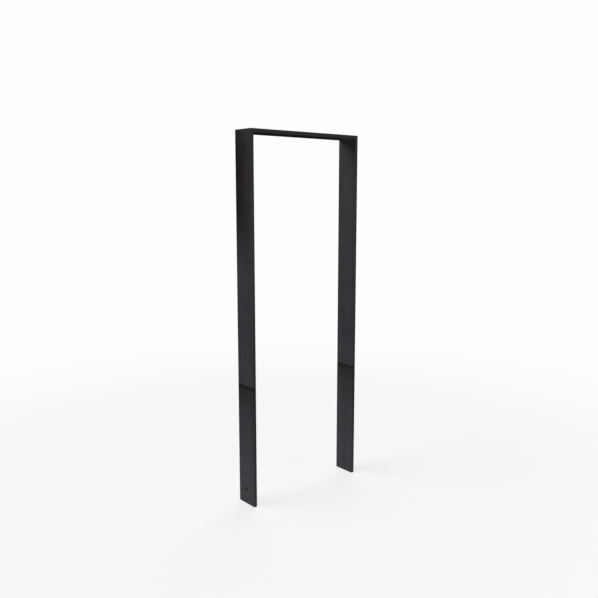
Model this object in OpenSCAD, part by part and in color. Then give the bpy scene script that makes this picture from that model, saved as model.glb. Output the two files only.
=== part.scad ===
// In-ground bicycle stand: a hoop of flat steel bar whose legs are cast into the ground.
// Sizes are in millimetres and +Z is up. The origin lies on the finished ground, midway between
// the two legs and at the middle of the bar's width. The hoop spans X, and its front faces -Y.

/* [Hoop] */
// Width over the outer faces of the two legs
hoop_w = 450; // [300:10:900]
// Height of the top bar's upper face above the finished ground
hoop_h = 800; // [600:10:1100]
// Length of each leg below the finished ground
buried_l = 400; // [250:10:600]

/* [Flat bar] */
// Width of the flat bar
bar_w = 80; // [50:5:120]
// Thickness of the flat bar
bar_t = 12; // [10:1:20]
// Radius of the bar's long rolled edges
bar_edge_r = 1; // [0.5:0.25:2]
// Chamfer round the cut end of each leg
foot_chamfer = 0.75; // [0.25:0.25:1.5]

/* [Anchor holes] */
// Diameter of the hole through each leg, for a rod that is cast in with it
anchor_d = 12; // [8:1:20]
// Distance from the cut end of each leg to the centre of its hole
anchor_up = 50; // [30:5:120]
// Chamfer on both rims of each hole
anchor_chamfer = 0.5; // [0.25:0.25:1]

/* [Mitre welds] */
// Width of the cap weld on each of the two outer faces that it joins
cap_w = 6; // [4:0.5:8]
// Thickness of the unbevelled steel under the cap weld
mitre_land = 4; // [3:0.5:6]
// Radius that the outer corner is ground to
corner_r = 1.5; // [0.5:0.25:3]
// Leg length of the fillet weld in the inner corner
fillet_leg = 3.5; // [3:0.5:8]
// Height of the fillet weld's rounded face above a flat one
fillet_crown = 0.4; // [0.2:0.1:1.2]
// Distance from the bar's front and back edges to the ends of the fillet weld
fillet_inset = 3; // [2:0.5:10]

/* [Hidden] */
$fn = 64;

coat = "#353337";
left = -1;
right = 1;

half_w = hoop_w / 2;
leg_l = hoop_h + buried_l;
cap_root = bar_t - mitre_land;
anchor_r = anchor_d / 2;
// Cutters run this far past the faces that they cut
past = 1;

// Cross-section of the flat bar: thickness along X, width along Y, rolled edges
module bar_section() {
    square([bar_t, bar_w - 2 * bar_edge_r], center = true);
    square([bar_t - 2 * bar_edge_r, bar_w], center = true);
    for (x = [-1, 1], y = [-1, 1])
        translate([x * (bar_t / 2 - bar_edge_r), y * (bar_w / 2 - bar_edge_r)])
            circle(r = bar_edge_r);
}

// Uncut bar on end, on one side of the hoop, from its foot to the top
module upright_bar(side) {
    translate([side * (half_w - bar_t / 2), 0, -buried_l])
        linear_extrude(height = leg_l)
            bar_section();
}

// Uncut bar that lies level across the top of the hoop
module level_bar() {
    translate([-half_w, 0, hoop_h - bar_t / 2])
        rotate([0, 90, 0])
            linear_extrude(height = hoop_w)
                bar_section();
}

// Slab with a shape drawn in X and Z, deep enough to cross the bar from front to back
module across_bar() {
    rotate([90, 0, 0])
        linear_extrude(height = bar_w + 2 * past, center = true)
            children();
}

// Puts a shape on one side of the hoop. In the shape, X runs inwards from the leg's outer
// face and Z runs up from the ground.
module on_side(side) {
    mirror([side == right ? 1 : 0, 0, 0])
        translate([-half_w, 0, 0])
            children();
}

// Front outline of a leg: chamfered foot, mitre at the top and the bevel for the cap weld
module leg_outline() {
    polygon([
        [0, foot_chamfer - buried_l],
        [foot_chamfer, -buried_l],
        [bar_t - foot_chamfer, -buried_l],
        [bar_t, foot_chamfer - buried_l],
        [bar_t, hoop_h - bar_t],
        [cap_root, hoop_h - cap_root],
        [0, hoop_h - cap_w],
    ]);
}

// Side outline of a leg: only its foot is chamfered
module leg_side_outline() {
    polygon([
        [-bar_w / 2, foot_chamfer - buried_l],
        [foot_chamfer - bar_w / 2, -buried_l],
        [bar_w / 2 - foot_chamfer, -buried_l],
        [bar_w / 2, foot_chamfer - buried_l],
        [bar_w / 2, hoop_h],
        [-bar_w / 2, hoop_h],
    ]);
}

// Front outline of the top bar: mitre and bevel at both ends
module top_outline() {
    polygon([
        [bar_t - half_w, hoop_h - bar_t],
        [cap_root - half_w, hoop_h - cap_root],
        [cap_w - half_w, hoop_h],
        [half_w - cap_w, hoop_h],
        [half_w - cap_root, hoop_h - cap_root],
        [half_w - bar_t, hoop_h - bar_t],
    ]);
}

// Round hole through a leg, with a chamfer at both faces. It runs along X from the outer face.
module anchor_hole() {
    wide_r = anchor_r + anchor_chamfer + past;
    rim_h = anchor_chamfer + past;
    translate([0, 0, anchor_up - buried_l])
        rotate([0, 90, 0]) {
            translate([0, 0, -past])
                cylinder(r = anchor_r, h = bar_t + 2 * past);
            translate([0, 0, -past])
                cylinder(r1 = wide_r, r2 = anchor_r, h = rim_h);
            translate([0, 0, bar_t - anchor_chamfer])
                cylinder(r1 = anchor_r, r2 = wide_r, h = rim_h);
        }
}

// Leg: flat bar on end, mitred at the top, drilled near its foot
module leg(side) {
    color(coat)
        difference() {
            intersection() {
                upright_bar(side);
                on_side(side)
                    across_bar()
                        leg_outline();
                rotate([90, 0, 90])
                    linear_extrude(height = hoop_w + 2 * past, center = true)
                        leg_side_outline();
            }
            on_side(side)
                anchor_hole();
        }
}

module left_leg() {
    leg(left);
}

module right_leg() {
    leg(right);
}

// Top bar: level flat bar, mitred to both legs
module top_bar() {
    color(coat)
        intersection() {
            level_bar();
            across_bar()
                top_outline();
        }
}

// Cap weld: fills the bevel outside the mitre and is ground flush with both bars
module cap_weld(side) {
    color(coat)
        intersection() {
            upright_bar(side);
            level_bar();
            on_side(side)
                across_bar()
                    cap_outline();
        }
}

// Section of the cap weld: a kite in the bevel, with its outer corner rounded
module cap_outline() {
    translate([0, hoop_h])
        mirror([0, 1])
            difference() {
                polygon([
                    [0, 0],
                    [cap_w, 0],
                    [cap_root, cap_root],
                    [0, cap_w],
                ]);
                difference() {
                    translate([-past, -past])
                        square(corner_r + past);
                    translate([corner_r, corner_r])
                        circle(r = corner_r);
                }
            }
}

module left_cap_weld() {
    cap_weld(left);
}

module right_cap_weld() {
    cap_weld(right);
}

// Fillet weld: bead with a rounded face in the inner corner, short of the bar's edges
module fillet_weld(side) {
    color(coat)
        on_side(side)
            rotate([90, 0, 0])
                linear_extrude(height = bar_w - 2 * fillet_inset, center = true)
                    fillet_section();
}

// Section of the fillet weld: the part of a circle that lies in the inner corner. The circle
// runs through both toes of the weld and rises above the flat between them by the crown.
module fillet_section() {
    half_flat = fillet_leg / sqrt(2);
    face_r = (half_flat ^ 2 + fillet_crown ^ 2) / (2 * fillet_crown);
    face_centre = fillet_leg / 2 - (face_r - fillet_crown) / sqrt(2);
    translate([bar_t, hoop_h - bar_t])
        mirror([0, 1])
            intersection() {
                square(fillet_leg);
                translate([face_centre, face_centre])
                    circle(r = face_r, $fn = 256);
            }
}

module left_fillet_weld() {
    fillet_weld(left);
}

module right_fillet_weld() {
    fillet_weld(right);
}

left_leg();
right_leg();
top_bar();
left_cap_weld();
right_cap_weld();
left_fillet_weld();
right_fillet_weld();
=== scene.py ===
import math

import bpy
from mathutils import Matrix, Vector


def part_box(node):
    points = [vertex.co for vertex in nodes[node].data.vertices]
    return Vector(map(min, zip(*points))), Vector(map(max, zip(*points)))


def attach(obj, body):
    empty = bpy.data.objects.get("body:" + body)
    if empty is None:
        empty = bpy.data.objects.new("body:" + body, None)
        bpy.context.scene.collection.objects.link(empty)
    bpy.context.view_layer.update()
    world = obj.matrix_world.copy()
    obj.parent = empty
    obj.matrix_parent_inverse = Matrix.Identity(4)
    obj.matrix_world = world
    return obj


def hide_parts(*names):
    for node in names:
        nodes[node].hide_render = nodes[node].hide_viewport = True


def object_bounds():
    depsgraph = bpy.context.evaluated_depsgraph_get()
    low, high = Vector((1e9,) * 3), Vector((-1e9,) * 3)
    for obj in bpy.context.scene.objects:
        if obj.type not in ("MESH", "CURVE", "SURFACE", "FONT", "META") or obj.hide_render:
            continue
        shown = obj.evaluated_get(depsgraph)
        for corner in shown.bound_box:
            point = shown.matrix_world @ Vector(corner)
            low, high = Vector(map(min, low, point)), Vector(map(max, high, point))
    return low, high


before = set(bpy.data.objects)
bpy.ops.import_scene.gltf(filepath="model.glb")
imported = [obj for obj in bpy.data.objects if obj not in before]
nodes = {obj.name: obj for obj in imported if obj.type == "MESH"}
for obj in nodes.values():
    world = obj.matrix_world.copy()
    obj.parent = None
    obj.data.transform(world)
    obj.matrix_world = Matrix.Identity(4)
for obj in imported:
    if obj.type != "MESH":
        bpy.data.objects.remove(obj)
# The hoop's lowest and highest corners as CAD has them, before any piece is replaced
cad_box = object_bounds()


# ---- Camera ----------------------------------------------------------------------------------
# It stands well in front of the hoop and to its left, lower than the top bar, so that the bar's
# underside, the outer face of the left leg and the inner face of the right leg all show.

VIEW_BEARING = math.radians(40.02)
VIEW_TILT = math.radians(8.71)
VIEW_DISTANCE = 2.309
VIEW_AIM = Vector((-0.002, 0, 0.2573))
SENSOR_MM = 36
LENS_MM = 41.54


def bearing(angle, height):
    """Unit vector away from the hoop: angle 0 is in front of it and pi / 2 at its left."""
    level = math.cos(height)
    return Vector((-math.sin(angle) * level, -math.cos(angle) * level, math.sin(height)))


def put(name, data):
    """Puts a new object in the scene."""
    thing = bpy.data.objects.new(name, data)
    bpy.context.scene.collection.objects.link(thing)
    return thing


def face_along(thing, direction):
    """Turns a camera or a lamp, which faces down its own -Z, to face along a direction."""
    thing.rotation_euler = direction.to_track_quat("-Z", "Y").to_euler()


camera = put("camera", bpy.data.cameras.new("camera"))
camera.data.sensor_width = SENSOR_MM
camera.data.lens = LENS_MM
camera.location = VIEW_AIM + VIEW_DISTANCE * bearing(VIEW_BEARING, VIEW_TILT)
face_along(camera, VIEW_AIM - camera.location)
bpy.context.scene.camera = camera
bpy.context.scene.view_settings.view_transform = "Standard"


# ---- Legs ------------------------------------------------------------------------------------
# Two lengths of hot-rolled flat steel bar, 80 by 12 mm, mitred at the top and drilled near the
# foot, with a third of their length cast into the ground. The whole hoop is blasted and powder
# coated once it is welded.

# Charcoal polyester powder, melted on, with a fine-structure finish. It gives a matt surface
# with a grain like fine sand, a soft sheen and no clear reflections.
COAT = "#343036"
COAT_LIGHT = "#403d43"
# Powder draws back from a sharp edge as it melts, and the thin coat there is a little lighter;
# this colour also paints a highlight along the rolled edges
COAT_EDGE_AND_HIGHLIGHT = "#454247"
COAT_IOR = 1.5
COAT_ROUGHNESS = 0.55
# The hollows of the grain keep a little more gloss than its tops
ROUGHNESS_SWING = 0.08
# The real grain is about 0.6 mm across, too fine to show, so it is drawn at 1.6 mm
GRAIN = 0.0016
GRAIN_HEIGHT = 0.0002
# Melted powder sets in shallow waves, the orange peel, about 9 mm apart
PEEL = 0.009
PEEL_HEIGHT = 0.00008
# Coat thickness drifts over about 90 mm and clouds the tone a little
CLOUD = 0.09
# The rolling mill leaves faint lengthwise bands in the steel that telegraph through the coat
BAND_WIDTH = 0.011
BAND_LENGTH = 0.35
BAND_SHARE = 0.5
# Noise stays near its middle, so the two tones are reached at these values of it
NOISE_DARK = 0.35
NOISE_LIGHT = 0.65
# Largest squared part of the normal where the edge tone starts and where it is full: it is 1 on
# a flat face and 0.5 halfway round a rolled edge
EDGE_STARTS = 0.97
EDGE_FULL = 0.6
# Painted shade: share of the coat's tone left at each depth in metres below the finished ground,
# a dark line of contact shadow where the leg goes in, and the ground's shadow under it, fading out
PAINTED_GROUND_SHADE = (
    (0.0, 1.0),
    (0.001, 0.12),
    (0.009, 0.12),
    (0.014, 0.42),
    (0.04, 0.56),
    (0.07, 0.75),
    (0.11, 0.88),
    (0.16, 1.0),
)


def linear(code):
    """An sRGB hex colour as linear RGB with alpha 1."""
    shades = [int(code[i : i + 2], 16) / 255 for i in (1, 3, 5)]
    return [s / 12.92 if s <= 0.04045 else ((s + 0.055) / 1.055) ** 2.4 for s in shades] + [1]


def empty_material(name):
    """A new material without any nodes."""
    material = bpy.data.materials.new(name)
    material.use_nodes = True
    material.node_tree.nodes.clear()
    return material


def add(tree, kind, sockets=None, **settings):
    """Adds a node. A socket's value is a number, a colour, or another node's output to link."""
    node = tree.nodes.new(kind)
    for name, value in settings.items():
        setattr(node, name, value)
    for name, value in (sockets or {}).items():
        if isinstance(value, bpy.types.NodeSocket):
            tree.links.new(value, node.inputs[name])
        else:
            node.inputs[name].default_value = value
    return node


def mottled(tree, place, band):
    """The coat's tone with its clouds, and its faint bands of this size along X, Y and Z."""
    clouds = add(
        tree,
        "ShaderNodeTexNoise",
        {"Vector": place, "Scale": 1 / CLOUD, "Detail": 3, "Roughness": 0.6},
    )
    stretched = add(
        tree, "ShaderNodeMapping", {"Vector": place, "Scale": [1 / size for size in band]}
    )
    bands = add(
        tree,
        "ShaderNodeTexNoise",
        {"Vector": stretched.outputs["Vector"], "Scale": 1, "Detail": 2},
    )
    mottle = add(
        tree,
        "ShaderNodeMix",
        {"Factor": BAND_SHARE, "A": clouds.outputs["Fac"], "B": bands.outputs["Fac"]},
    )
    spread = add(
        tree,
        "ShaderNodeMapRange",
        {"Value": mottle.outputs["Result"], "From Min": NOISE_DARK, "From Max": NOISE_LIGHT},
    )
    tone = add(
        tree,
        "ShaderNodeMix",
        {"Factor": spread.outputs["Result"], "A": linear(COAT), "B": linear(COAT_LIGHT)},
        data_type="RGBA",
    )
    return tone.outputs["Result"]


def thin_edge_and_highlight(tree, tone):
    """The tone, lighter on the edges, where the normal turns from one axis to another: a thin coat
    and a painted highlight.
    """
    normal = add(tree, "ShaderNodeNewGeometry").outputs["Normal"]
    squared = add(
        tree, "ShaderNodeVectorMath", {0: normal, 1: normal}, operation="MULTIPLY"
    )
    parts = add(tree, "ShaderNodeSeparateXYZ", {"Vector": squared.outputs["Vector"]})
    level = add(
        tree,
        "ShaderNodeMath",
        {0: parts.outputs["X"], 1: parts.outputs["Y"]},
        operation="MAXIMUM",
    )
    largest = add(
        tree,
        "ShaderNodeMath",
        {0: level.outputs["Value"], 1: parts.outputs["Z"]},
        operation="MAXIMUM",
    )
    turn = add(
        tree,
        "ShaderNodeMapRange",
        {"Value": largest.outputs["Value"], "From Min": EDGE_STARTS, "From Max": EDGE_FULL},
    )
    lighter = add(
        tree,
        "ShaderNodeMix",
        {"Factor": turn.outputs["Result"], "A": tone, "B": linear(COAT_EDGE_AND_HIGHLIGHT)},
        data_type="RGBA",
    )
    return lighter.outputs["Result"]


def with_painted_ground_shade(tree, place, tone):
    """The tone, with the ground's shade painted on where the leg goes into the ground."""
    deepest = PAINTED_GROUND_SHADE[-1][0]
    height = add(tree, "ShaderNodeSeparateXYZ", {"Vector": place}).outputs["Z"]
    depth = add(
        tree, "ShaderNodeMapRange", {"Value": height, "From Min": 0, "From Max": -deepest}
    )
    ramp = add(tree, "ShaderNodeValToRGB", {"Fac": depth.outputs["Result"]})
    stops = ramp.color_ramp.elements
    for depth_m, _ in PAINTED_GROUND_SHADE[1:-1]:
        stops.new(depth_m / deepest)
    for stop, (_, share) in zip(stops, PAINTED_GROUND_SHADE):
        stop.color = (share, share, share, 1)
    shaded = add(
        tree,
        "ShaderNodeMix",
        {"Factor": 1, "A": tone, "B": ramp.outputs["Color"]},
        data_type="RGBA",
        blend_type="MULTIPLY",
    )
    return shaded.outputs["Result"]


def grained(tree, place, grain):
    """The coat's normal: the grain on top of the shallow waves of the orange peel."""
    peel = add(tree, "ShaderNodeTexNoise", {"Vector": place, "Scale": 1 / PEEL, "Detail": 1})
    waves = add(
        tree,
        "ShaderNodeBump",
        {"Height": peel.outputs["Fac"], "Strength": 1, "Distance": PEEL_HEIGHT},
    )
    sand = add(
        tree,
        "ShaderNodeBump",
        {
            "Height": grain,
            "Strength": 1,
            "Distance": GRAIN_HEIGHT,
            "Normal": waves.outputs["Normal"],
        },
    )
    return sand.outputs["Normal"]


def powder_coat(name, band, roughness=COAT_ROUGHNESS, in_ground=False):
    """Charcoal powder coat. band is the size of its faint bands along X, Y and Z."""
    material = empty_material(name)
    tree = material.node_tree
    place = add(tree, "ShaderNodeTexCoord").outputs["Object"]
    # Rolled edges get a lighter tone: thinner coat there, and a painted highlight
    tone = thin_edge_and_highlight(tree, mottled(tree, place, band))
    # Painted shade: the ground's shadow darkens the legs where they go into it
    if in_ground:
        tone = with_painted_ground_shade(tree, place, tone)
    speckle = add(
        tree, "ShaderNodeTexNoise", {"Vector": place, "Scale": 1 / GRAIN, "Detail": 2}
    )
    grain = speckle.outputs["Fac"]
    rough = add(
        tree,
        "ShaderNodeMapRange",
        {
            "Value": grain,
            "To Min": roughness - ROUGHNESS_SWING,
            "To Max": roughness + ROUGHNESS_SWING,
        },
    )
    shader = add(
        tree,
        "ShaderNodeBsdfPrincipled",
        {
            "Base Color": tone,
            "Roughness": rough.outputs["Result"],
            "IOR": COAT_IOR,
            "Normal": grained(tree, place, grain),
        },
    )
    add(tree, "ShaderNodeOutputMaterial", {"Surface": shader.outputs["BSDF"]})
    return material


def coat_pieces(names, material):
    """Gives each of these CAD pieces the material, in place of its plain one."""
    for name in names:
        slots = nodes[name].data.materials
        slots.clear()
        slots.append(material)


# The legs carry the ground's painted shade below the finished ground
leg_coat = powder_coat(
    "charcoal_powder_coat_on_leg", (BAND_WIDTH, BAND_WIDTH, BAND_LENGTH), in_ground=True
)
coat_pieces(["left_leg", "right_leg"], leg_coat)


# ---- Top bar ---------------------------------------------------------------------------------
# The same flat bar, level across the top and mitred to both legs. Its coat looks like that of
# the legs, but its rolling bands run across the hoop instead of up it.

bar_coat = powder_coat("charcoal_powder_coat_on_bar", (BAND_LENGTH, BAND_WIDTH, BAND_WIDTH))
coat_pieces(["top_bar"], bar_coat)


# ---- Cap welds -------------------------------------------------------------------------------
# MIG weld metal in the bevel outside each mitre, ground flush with both bars so that the corner
# stays crisp. The disc leaves the steel finer than its rolled skin, so the coat lies smoother
# and has a slightly clearer sheen.

# Sizes along X, Y and Z of the marks that the disc leaves across the weld
GRIND_MARK = (0.006, 0.0015, 0.006)
GROUND_ROUGHNESS = 0.5

cap_coat = powder_coat("charcoal_powder_coat_on_ground_weld", GRIND_MARK, GROUND_ROUGHNESS)
coat_pieces(["left_cap_weld", "right_cap_weld"], cap_coat)


# ---- Fillet welds ----------------------------------------------------------------------------
# A single MIG bead in each inner corner, 3.5 mm on each leg, left as it was laid and coated
# over. It has a low crown, a curved ripple where each drop of the molten pool froze, and a
# rounded start and stop.

RIPPLE = 0.0022
RIPPLE_HEIGHT = 0.00022
# The middle of the pool freezes last, so each ripple trails this far behind at its toes
RIPPLE_BOW = 0.0014
CROWN = 0.0005
# The bead thins out over this length at both ends, to this share of its full size
BEAD_END = 0.0035
BEAD_TIP = 0.35
# Distance between cross-sections of the mesh, and points on the face of each
STATION = 0.00044
FACE_POINTS = 10
SHARP_ANGLE = math.radians(40)
# Weld metal was never rolled, so its coat has blotches of even size in place of the bands
BLOTCH = 0.02

bead_coat = powder_coat("charcoal_powder_coat_on_bead", (BLOTCH, BLOTCH, BLOTCH))


def bead(name, node, inwards):
    """A rippled fillet bead in the space of its CAD node. inwards is +1 on the left."""
    low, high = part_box(node)
    corner_x = low.x if inwards > 0 else high.x
    size = high.z - low.z
    half_length = (high.y - low.y) / 2
    stations = round(2 * half_length / STATION)
    points = []
    for station in range(stations + 1):
        along = -half_length + 2 * half_length * station / stations
        from_end = min((half_length - abs(along)) / BEAD_END, 1)
        fullness = BEAD_TIP + (1 - BEAD_TIP) * math.sqrt(1 - (1 - from_end) ** 2)
        # One point in the inner corner, then the face from the leg's toe to the top bar's
        points.append(Vector((corner_x, along, high.z)))
        for step in range(FACE_POINTS):
            across = step / (FACE_POINTS - 1)
            rise = 4 * across * (1 - across)
            phase = (along + RIPPLE_BOW * (2 * across - 1) ** 2) / RIPPLE
            scallop = RIPPLE_HEIGHT * (abs(math.cos(math.pi * phase)) - 1)
            out = rise * (CROWN + scallop) / math.sqrt(2)
            x = corner_x + inwards * fullness * (size * across + out)
            z = high.z - fullness * (size * (1 - across) + out)
            points.append(Vector((x, along, z)))
    ring = FACE_POINTS + 1
    faces = []
    for start in range(0, stations * ring, ring):
        for here in range(ring):
            beside = (here + 1) % ring
            faces.append((start + here, start + beside, start + ring + beside, start + ring + here))
    faces.append(tuple(range(ring - 1, -1, -1)))
    faces.append(tuple(range(stations * ring, (stations + 1) * ring)))
    if inwards > 0:
        faces = [face[::-1] for face in faces]
    mesh = bpy.data.meshes.new(name)
    mesh.from_pydata(points, [], faces)
    mesh.materials.append(bead_coat)
    mesh.shade_smooth()
    mesh.set_sharp_from_angle(angle=SHARP_ANGLE)
    piece = put(name, mesh)
    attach(piece, "root")
    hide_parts(node)


bead("left_fillet_bead", "left_fillet_weld", 1)
bead("right_fillet_bead", "right_fillet_weld", -1)


# ---- Floor and surround ----------------------------------------------------------------------
# A pale seamless floor under the feet of the legs. It fades into the pale surround with
# distance, so that no horizon shows. Neither of them lights the hoop.

SURROUND = "#fdfdfd"
FLOOR_SIZE = 80
FLOOR_GREY = 0.3
FLOOR_GLOW = 0.74
FADE_START = 0.8
FADE_END = 2.4

foot_height = cad_box[0].z
bpy.ops.mesh.primitive_plane_add(size=FLOOR_SIZE, location=(0, 0, foot_height))
floor = bpy.context.object
floor.name = "floor"
pale = empty_material("pale_floor")
tree = pale.node_tree
lit = add(tree, "ShaderNodeBsdfDiffuse", {"Color": [FLOOR_GREY, FLOOR_GREY, FLOOR_GREY, 1]})
glow = add(tree, "ShaderNodeEmission", {"Color": linear("#ffffff"), "Strength": FLOOR_GLOW})
near = add(tree, "ShaderNodeAddShader", {0: lit.outputs[0], 1: glow.outputs[0]})
far = add(tree, "ShaderNodeEmission", {"Color": linear(SURROUND), "Strength": 1})
spot = add(tree, "ShaderNodeTexCoord").outputs["Object"]
distance = add(tree, "ShaderNodeVectorMath", {0: spot}, operation="LENGTH")
fade = add(
    tree,
    "ShaderNodeMapRange",
    {"Value": distance.outputs["Value"], "From Min": FADE_START, "From Max": FADE_END},
    interpolation_type="SMOOTHSTEP",
)
seamless = add(
    tree, "ShaderNodeMixShader", {0: fade.outputs["Result"], 1: near.outputs[0], 2: far.outputs[0]}
)
add(tree, "ShaderNodeOutputMaterial", {"Surface": seamless.outputs[0]})
floor.data.materials.append(pale)
floor.visible_diffuse = False
floor.visible_glossy = False

world = bpy.data.worlds.new("surround")
bpy.context.scene.world = world
world.use_nodes = True
world.node_tree.nodes["Background"].inputs["Color"].default_value = linear(SURROUND)
world.cycles_visibility.diffuse = False
world.cycles_visibility.glossy = False


# ---- Lights ----------------------------------------------------------------------------------
# Two very large softboxes stand far behind the hoop, at its left and its right. Two small ones
# stand nearer, one at its right front and one low at its left. A wide lamp just above the floor
# gives the light that the pale floor throws back up.

FAR_SPREAD = math.radians(50)
BOUNCE_WIDTH = 1.3
BOUNCE_WATTS = 1.41
BOUNCE_LIFT = 0.001

middle = (cad_box[0] + cad_box[1]) / 2


def far_softbox(name, angle, height, strength):
    """A softbox so large and far off that its light is even. Its angles are in degrees."""
    lamp = bpy.data.lights.new(name, "SUN")
    lamp.angle = FAR_SPREAD
    lamp.energy = strength
    face_along(put(name, lamp), -bearing(math.radians(angle), math.radians(height)))


def softbox(name, centre, width, height, watts):
    """A lamp behind a rectangular diffuser that faces the middle of the hoop."""
    lamp = bpy.data.lights.new(name, "AREA")
    lamp.shape = "RECTANGLE"
    lamp.size = width
    lamp.size_y = height
    lamp.energy = watts
    lamp_object = put(name, lamp)
    lamp_object.location = centre
    lamp_object.visible_camera = False
    face_along(lamp_object, middle - Vector(centre))


far_softbox("key", angle=120, height=35, strength=1.663)
far_softbox("right_back", angle=230, height=35, strength=1.4)
softbox("front", centre=(1.7, -2.5, 0.3), width=1.5, height=1, watts=16.5)
softbox("front_low", centre=(-2.6, -1.1, 0), width=1.5, height=0.6, watts=18)

bounce = bpy.data.lights.new("floor_bounce", "AREA")
bounce.shape = "DISK"
bounce.size = BOUNCE_WIDTH
bounce.energy = BOUNCE_WATTS
bounce_object = put("floor_bounce", bounce)
bounce_object.location = (0, 0, foot_height + BOUNCE_LIFT)
bounce_object.rotation_euler = (math.pi, 0, 0)
bounce_object.visible_camera = False


# ---- Black net -------------------------------------------------------------------------------
# It stands just outside and behind the upper left leg, as a bicycle that leans there would, and
# keeps the key light off the back of the leg's outer face. Its weave opens out downwards, so that
# its shadow fades away, and its top slopes so that it stays off the top bar.

NET_GAP = 0.01
NET_WIDTH = 0.125
NET_BEHIND = 0.012
# Heights above the ground at which the weave is fully open and fully dense
NET_OPEN = 0.4
NET_DENSE = 0.58
# How far the top of the net rises above the hoop, beside the leg and at its outer end
NET_RISE_IN = 0.02
NET_RISE_OUT = 0.1

leg_low, leg_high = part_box("left_leg")
net_in = leg_low.x - NET_GAP
net_out = net_in - NET_WIDTH
net_y = leg_high.y + NET_BEHIND
net_corners = [
    (net_out, net_y, NET_OPEN),
    (net_in, net_y, NET_OPEN),
    (net_in, net_y, leg_high.z + NET_RISE_IN),
    (net_out, net_y, leg_high.z + NET_RISE_OUT),
]
net_mesh = bpy.data.meshes.new("net")
net_mesh.from_pydata(net_corners, [], [(0, 1, 2, 3)])
net_cloth = empty_material("black_net")
tree = net_cloth.node_tree
spot = add(tree, "ShaderNodeTexCoord").outputs["Object"]
height = add(tree, "ShaderNodeSeparateXYZ", {"Vector": spot}).outputs["Z"]
weave = add(
    tree, "ShaderNodeMapRange", {"Value": height, "From Min": NET_OPEN, "From Max": NET_DENSE}
)
holes = add(tree, "ShaderNodeBsdfTransparent")
thread = add(tree, "ShaderNodeBsdfDiffuse", {"Color": linear("#000000")})
cloth = add(
    tree,
    "ShaderNodeMixShader",
    {0: weave.outputs["Result"], 1: holes.outputs["BSDF"], 2: thread.outputs["BSDF"]},
)
add(tree, "ShaderNodeOutputMaterial", {"Surface": cloth.outputs[0]})
net_mesh.materials.append(net_cloth)
net = put("net", net_mesh)
net.visible_camera = False
